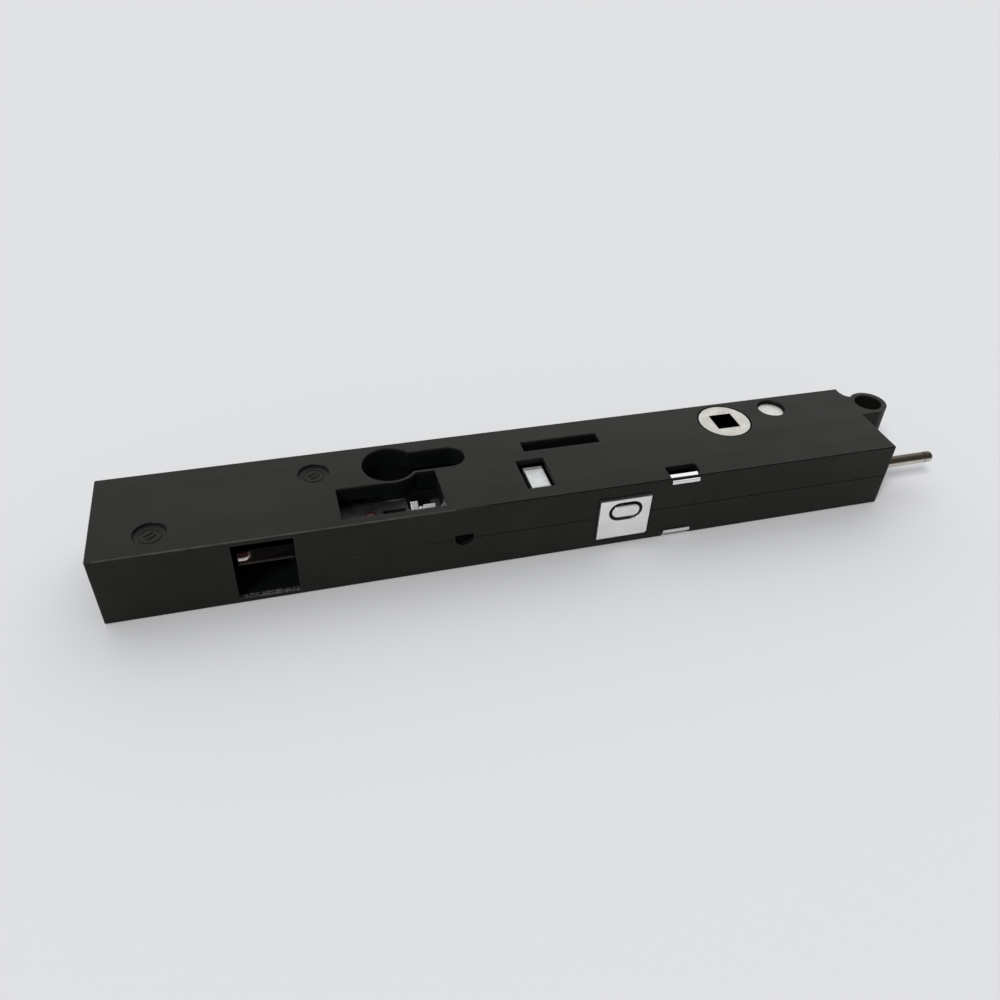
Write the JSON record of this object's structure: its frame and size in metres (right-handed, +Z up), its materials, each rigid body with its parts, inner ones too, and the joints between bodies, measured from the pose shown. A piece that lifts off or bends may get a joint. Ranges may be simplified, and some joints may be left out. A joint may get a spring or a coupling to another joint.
{
  "type": "mortise lock",
  "caption": "Narrow mortise lock case with a euro-profile cylinder hole, a square handle follower, a hook bolt and a connecting rod.",
  "frame": {"origin": "on the axis of the cylinder hole, at the bottom face of the case", "axes": "+X along the case towards the connecting rod's end, +Y from the front edge with the bolt window to the back, +Z up through the thickness of the case"},
  "size_m": [0.2852, 0.0402, 0.0245],
  "materials": {
    "black_nylon": "moulded, fine spark texture",
    "zinc_hub": "machined face",
    "rivet_steel": "dull",
    "zinc_block": "cast zinc, satin",
    "nickel_plate": "bright nickel plate",
    "nickel_button": "bright nickel plate",
    "spring_steel": "bright",
    "plated_rod": "nickel plated",
    "hook_steel": "dark copper passivated",
    "cam_steel": "dark oiled",
    "copper_rivets": "copper plated",
    "slide_steel": "oiled strip",
    "pin_steel": "ground",
    "bush_brass": "turned",
    "plated_nut": "zinc plated",
    "screw_steel": "zinc plated"
  },
  "bodies": {
    "case": {"lower_shell": "black_nylon", "upper_shell": "black_nylon", "case_rivet": "rivet_steel", "guide_plate": "nickel_plate", "button_bush": "black_nylon", "shell_clip": "spring_steel", "hook_guide_pin": "pin_steel", "trigger_spring": "spring_steel", "drive_detent_spring": "spring_steel", "lock_detent_spring": "spring_steel", "case_screws": "screw_steel", "locating_dowels": "pin_steel"},
    "lock_slide": {"lock_slide": "slide_steel", "cam_block": "cam_steel", "cam_block_rivets": "copper_rivets", "cam_spring": "spring_steel", "hook_pivot_pin": "pin_steel", "hook_retaining_washer": "pin_steel"},
    "hook": {"hook_bolt": "hook_steel", "hook_bush": "bush_brass"},
    "drive_slide": {"drive_slide": "slide_steel", "coupling_block": "zinc_block", "coupling_rivets": "pin_steel", "connecting_rod": "plated_rod", "rod_lock_nut": "plated_nut"},
    "follower": {"follower": "zinc_hub"},
    "trigger": {"trigger_button": "nickel_button"}
  },
  "joints": [
    {"name": "lock_slide_travel", "type": "slide", "parent": "case", "child": "lock_slide", "axis": [-1, 0, 0], "range_m": [0, 0.01], "deforming": ["lock_detent_spring"]},
    {"name": "hook_swing", "type": "hinge", "parent": "lock_slide", "child": "hook", "pos_m": [-0.0258, -0.018, 0.01225], "axis": [0, 0, 1], "range_deg": [0, 90]},
    {"name": "drive_slide_travel", "type": "slide", "parent": "case", "child": "drive_slide", "axis": [1, 0, 0], "range_m": [0, 0.01885], "deforming": ["drive_detent_spring"]},
    {"name": "follower_turn", "type": "hinge", "parent": "case", "child": "follower", "pos_m": [0.12, 0, 0.01225], "axis": [0, 0, 1], "range_deg": [0, 90]},
    {"name": "trigger_press", "type": "slide", "parent": "case", "child": "trigger", "axis": [0, 1, 0], "range_m": [0, 0.0015], "stiffness_N_per_m": 600, "springref_m": -0.002, "deforming": ["trigger_spring"]}
  ],
  "couplings": [
    {"joint": "hook_swing", "follows": "lock_slide_travel", "rad_per_m": 157.08},
    {"joint": "drive_slide_travel", "follows": "follower_turn", "m_per_rad": 0.012}
  ]
}
